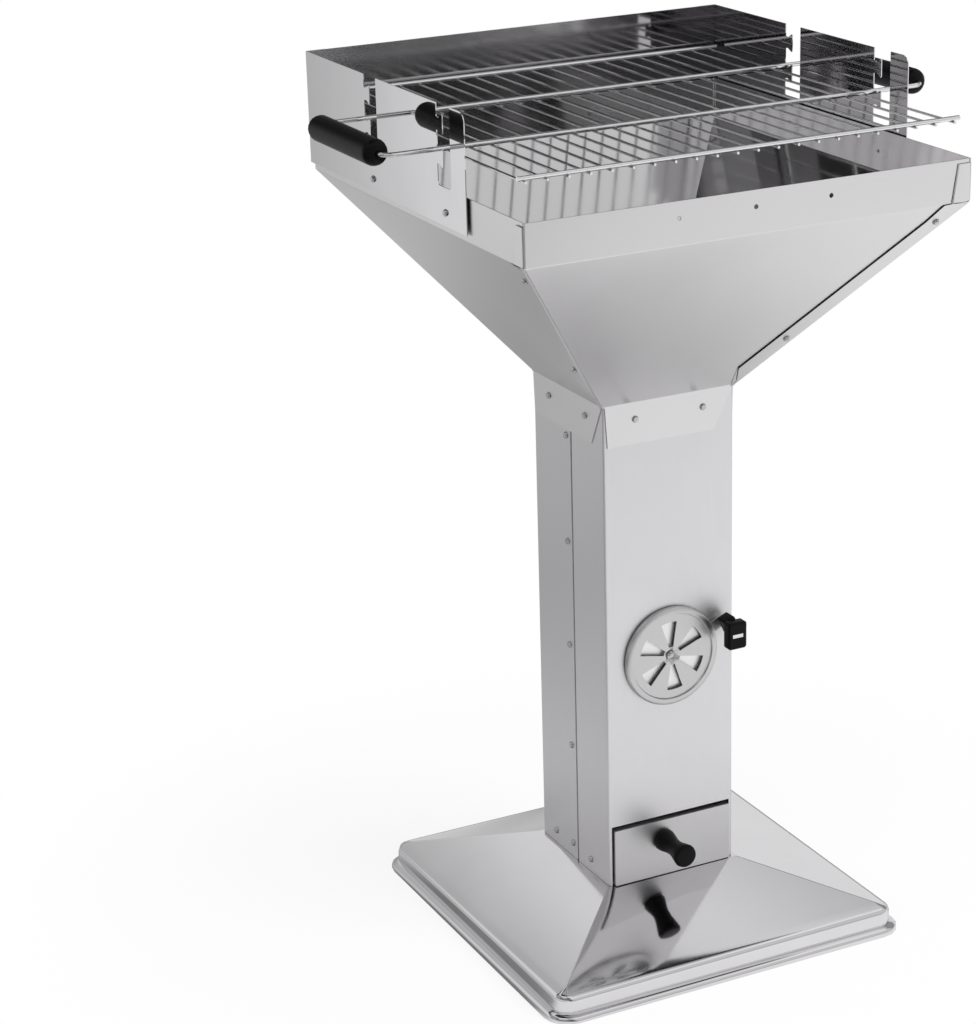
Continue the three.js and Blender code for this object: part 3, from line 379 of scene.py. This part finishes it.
def brushed(name, colours, rough, strength=0.04, patch=None):
    """Satin sheet with fine upright brush lines, and a painted light behind the vent petals, a brighter
    colour there, if a patch is given.
    """
    shader = Shader(name)
    lines = shader.noise(900, 3, stretch=BRUSH_STRETCH, roughness=0.6)
    colour = shader.tint(shader.noise(5, 3), *colours)
    if patch:
        # Within the petals' reach of the vent's axis the colour is brighter: painted light
        colour = shader.tint(shader.near(VENT_CENTRE, VENT_PETAL_REACH), colour, patch)
    shader.set(
        Metallic=1.0,
        Base_Color=colour,
        Roughness=shader.ramp(lines, GRAIN_SPREAD, (rough - BRUSH_SMOOTHER, rough + BRUSH_ROUGHER)),
        Normal=shader.bump(lines, strength, GRAIN_RELIEF),
    )
    return shader.material


def bowl_sheet(name):
    """Funnel sheet: satin outside, bright rolled finish inside."""
    shader = Shader(name)
    haze = shader.noise(9, 4)
    satin = shader.ramp(haze, BOWL_OUTSIDE_SPREAD, BOWL_OUTSIDE_ROUGH)
    bright = shader.ramp(haze, HAZE_SPREAD, BOWL_INSIDE_ROUGH)
    shader.set(
        Metallic=1.0,
        Base_Color=shader.tint(haze, *BOWL),
        Roughness=shader.blend(shader.inward(), satin, bright),
        Normal=shader.bump(shader.noise(4, 1), BOWL_WAVE, WAVE_RELIEF),
    )
    return shader.material


def wire_steel(name, colours, rough):
    """Drawn wire, and the turned steel of the screws."""
    shader = Shader(name)
    drawn = shader.noise(260, 3)
    shader.set(
        Metallic=1.0,
        Base_Color=shader.tint(drawn, *colours),
        Roughness=shader.ramp(drawn, GRAIN_SPREAD, (rough, rough + WIRE_ROUGHER)),
    )
    return shader.material


def black_plastic(name):
    """Moulded plastic with a fine grain."""
    shader = Shader(name)
    grain = shader.noise(1400, 2)
    shader.set(
        Base_Color=shader.tint(shader.noise(60, 2), *PLASTIC),
        Roughness=shader.ramp(grain, GRAIN_SPREAD, PLASTIC_ROUGH),
        Specular_IOR_Level=PLASTIC_SPECULAR,
        Normal=shader.bump(grain, 0.1, GRAIN_RELIEF),
    )
    return shader.material


def smooth(node, angle):
    """Curved CAD surfaces shade smoothly, large flat faces stay flat and cuts stay crisp."""
    mesh = node.data
    mesh.shade_smooth()
    if "custom_normal" in mesh.attributes:
        mesh.attributes.remove(mesh.attributes["custom_normal"])
    weld = node.modifiers.new("weld", "WELD")
    weld.merge_threshold = WELD
    split = node.modifiers.new("crisp", "EDGE_SPLIT")
    split.split_angle = angle
    split.use_edge_sharp = False
    flat = node.modifiers.new("flat", "WEIGHTED_NORMAL")
    flat.weight = LARGE_FACE_WEIGHT


def dress(material, *prefixes):
    """Gives a material to every node whose name starts with one of the prefixes."""
    for name, node in NODES.items():
        if name.startswith(prefixes):
            node.data.materials.clear()
            node.data.materials.append(material)


def dress_nodes():
    """A later line takes over nodes that an earlier one has dressed, such as the knob's screw."""
    dress(polished("mirror_sheet", MIRROR, MIRROR_ROUGH), "base_foot")
    # Windscreen sides: polished, with painted shade on their inner faces
    dress(polished("screen_sheet", MIRROR, SCREEN_ROUGH, SCREEN_INSIDE_SHADE),
          "windscreen_left", "windscreen_right")
    # Back panel, with painted shade inside
    dress(shaded_back("back_sheet"), "windscreen_back")
    dress(bowl_sheet("bowl_sheet"), "funnel")
    dress(brushed("satin_sheet", SATIN, 0.46), "column_rear", "base_collar", "drawer_tray")
    # Column front, with painted light behind the vent petals
    dress(brushed("front_sheet", FRONT, 0.44, patch=PAINTED_LIGHT_BEHIND_PETALS), "column_front")
    dress(brushed("door_sheet", DOOR, 0.42), "drawer_front")
    dress(brushed("disc_sheet", DISC, 0.34, strength=0.008), "vent_disc")
    dress(wire_steel("chromed_wire", CHROME, 0.1), "cooking_grate", "handle_loop")
    dress(wire_steel("dark_wire", PLAIN_WIRE, 0.4), "charcoal_grate")
    dress(black_plastic("black_plastic"), "drawer_knob", "vent_grip", "grip")
    dress(wire_steel("screw_steel", SCREW, 0.14), "seam_screw", "base_screw", "hip_screw", "collar_screw",
          "windscreen_screw", "vent_rivet")
    dress(bpy.data.materials[RECORD_STEEL], "drawer_knob_screw")


def add_object(name, points, faces):
    mesh = bpy.data.meshes.new(name)
    mesh.from_pydata(points, [], faces)
    made = bpy.data.objects.new(name, mesh)
    bpy.context.scene.collection.objects.link(made)
    return made


def add_inlay():
    """Bright plate let into the window of the vent grip."""
    x, y, z = (side / 2 for side in WINDOW_SIZE)
    corners = [(i * x, j * y, k * z) for i in (-1, 1) for j in (-1, 1) for k in (-1, 1)]
    faces = [(0, 1, 3, 2), (4, 6, 7, 5), (0, 4, 5, 1), (2, 3, 7, 6), (0, 2, 6, 4), (1, 5, 7, 3)]
    plate = add_object("vent_grip_inlay", corners, faces)
    plate.location = Vector(WINDOW_CENTRE) + Vector((0, WINDOW_RECESS, 0))
    plate.data.materials.append(bpy.data.materials[RECORD_STEEL])
    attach(plate, "damper")


def make_floor():
    """White to the camera, with the object's shadow, and with painted light and shade where polished metal
    shows it.
    """
    turns = [math.tau * i / FLOOR_CORNERS for i in range(FLOOR_CORNERS)]
    edge = [(FLOOR_RADIUS * math.cos(turn), FLOOR_RADIUS * math.sin(turn), 0) for turn in turns]
    floor = add_object("floor", edge, [list(range(FLOOR_CORNERS))])
    shader = Shader("floor")
    white = (FLOOR_WHITE, FLOOR_WHITE, FLOOR_WHITE, 1)
    shader.set(Roughness=FLOOR_ROUGH, Base_Color=white, Specular_IOR_Level=0.0)
    away = shader.measure("LENGTH", shader.place)
    path = shader.add("ShaderNodeLightPath")
    share = shader.show(path, shader.ramp(away, FLOOR_FADES, FLOOR_TO_CAMERA, soft=True), FLOOR_TO_METAL)
    # Darker round the foot where polished metal shows the floor: painted shadow
    shadow_left = shader.ramp(away, *FOOT_SHADOW_LEFT, soft=True)
    shadow_right = shader.ramp(away, *FOOT_SHADOW_RIGHT, soft=True)
    foot = shader.blend(shader.zone(RIGHT_HALF_ZONE), shadow_left, shadow_right)
    level = shader.maths("MAXIMUM", foot, shader.zone(BEFORE_FOOT_ZONE))
    # Tones by direction where polished metal shows the floor: painted light and shade
    level = shader.maths("MULTIPLY", level, shader.zone(FRONT_ZONE, soft=False))
    for settings in (CORNER_ZONE, REAR_RIGHT_ZONE, REAR_LEFT_ZONE):
        level = shader.maths("MULTIPLY", level, shader.zone(settings))
    mix = shader.add("ShaderNodeMixShader")
    shader.feed(mix.inputs[0], share)
    shader.feed(mix.inputs[1], shader.surface.outputs[0])
    shader.feed(mix.inputs[2], shader.glow(shader.blend(path.outputs["Is Glossy Ray"], 1.0, level)))
    shader.finish(mix.outputs[0])
    floor.data.materials.append(shader.material)


def only_in_metal(panel):
    """Leaves a panel to be seen in polished metal alone."""
    for kind in ("camera", "diffuse", "transmission", "volume_scatter", "shadow"):
        setattr(panel, f"visible_{kind}", False)


def make_card():
    """A pale card behind the object."""
    corners = [(x, CARD_REAR, CARD_LOW) for x in (-CARD_HALF, CARD_HALF)]
    corners += [(x, CARD_REAR, CARD_HIGH) for x in (CARD_HALF, -CARD_HALF)]
    card = add_object("card", corners, [(0, 1, 2, 3)])
    shader = Shader("card")
    across = shader.axis(shader.place, "X")
    height = shader.axis(shader.place, "Z")
    left = shader.ramp(across, *CARD_DIP_LEFT, soft=True)
    right = shader.ramp(across, *CARD_DIP_RIGHT, soft=True)
    dip = shader.ramp(shader.maths("MULTIPLY", left, right), (0.0, 1.0), CARD_DIP_LEVELS)
    upper = shader.maths("MULTIPLY", shader.ramp(height, *CARD_RISE), dip)
    lower = shader.ramp(across, *CARD_LOWER, soft=True)
    shade = shader.blend(shader.ramp(height, *CARD_UPPER_STARTS, soft=True), lower, upper)
    shade = shader.maths("MULTIPLY", shade, shader.ramp(height, *CARD_FOOT))
    bright = shader.ramp(across, *CARD_BRIGHT, soft=True)
    shader.finish(shader.glow(shader.maths("MAXIMUM", shade, bright)))
    card.data.materials.append(shader.material)
    only_in_metal(card)


def make_ring():
    """A pale ring overhead."""
    turns = [math.tau * i / RING_CORNERS for i in range(RING_CORNERS)]
    radii = (RING_INNER, RING_OUTER)
    points = [(r * math.cos(turn), r * math.sin(turn), RING_HEIGHT) for r in radii for turn in turns]
    steps = [(i, (i + 1) % RING_CORNERS) for i in range(RING_CORNERS)]
    faces = [(this, after, after + RING_CORNERS, this + RING_CORNERS) for this, after in steps]
    ring = add_object("ring", points, faces)
    shader = Shader("ring")
    rear = shader.ramp(shader.measure("LENGTH", shader.level(shader.place)), *RING_REAR)
    shader.finish(shader.glow(shader.blend(shader.zone(RING_FRONT_ZONE), rear, RING_FRONT_LEVEL)))
    ring.data.materials.append(shader.material)
    only_in_metal(ring)


def add_lamp(name, settings):
    """A soft square lamp that polished metal doesn't show."""
    place, side, watts = settings
    light = bpy.data.lights.new(name, "AREA")
    light.shape = "RECTANGLE"
    light.size = side
    light.size_y = side
    light.energy = watts
    lamp = bpy.data.objects.new(name, light)
    lamp.location = place
    lamp.rotation_euler = (Vector(LAMP_AIM) - Vector(place)).to_track_quat("-Z", "Y").to_euler()
    lamp.visible_glossy = False
    bpy.context.scene.collection.objects.link(lamp)


def make_world():
    """White for the camera, an even dome for matt surfaces, and soft boxes for polished metal."""
    world = bpy.data.worlds.new("studio")
    bpy.context.scene.world = world
    world.use_nodes = True
    graph = Graph(world.node_tree)
    way = graph.add("ShaderNodeTexCoord").outputs["Generated"]
    pattern = graph.ramp(graph.axis(way, "Z"), *HORIZON, soft=True)
    for toward, full, gone, level in SOFT_BOXES:
        facing = graph.measure("DOT_PRODUCT", way, Vector(toward).normalized())
        span = (math.cos(math.radians(gone)), math.cos(math.radians(full)))
        pattern = graph.maths("MAXIMUM", pattern, graph.ramp(facing, span, (0.0, level), soft=True))
    path = graph.add("ShaderNodeLightPath")
    plain = graph.maths("MAXIMUM", path.outputs["Is Camera Ray"], path.outputs["Is Glossy Ray"])
    plain = graph.maths("MAXIMUM", plain, path.outputs["Is Transmission Ray"])
    dome = graph.maths("MULTIPLY", graph.maths("SUBTRACT", 1.0, plain), DOME_LEVEL)
    background = world.node_tree.nodes["Background"]
    graph.feed(background.inputs["Strength"], graph.maths("ADD", graph.show(path, 1.0, pattern), dome))
    background.inputs["Color"].default_value = (1, 1, 1, 1)


for name, node in NODES.items():
    smooth(node, WIRE_ANGLE if name.startswith(WIRES) else SHEET_ANGLE)

dress_nodes()
add_inlay()
make_camera()
make_world()
make_floor()
make_card()
make_ring()
add_lamp("key", KEY_LAMP)
add_lamp("fill", FILL_LAMP)

bpy.context.scene.view_settings.view_transform = "Standard"
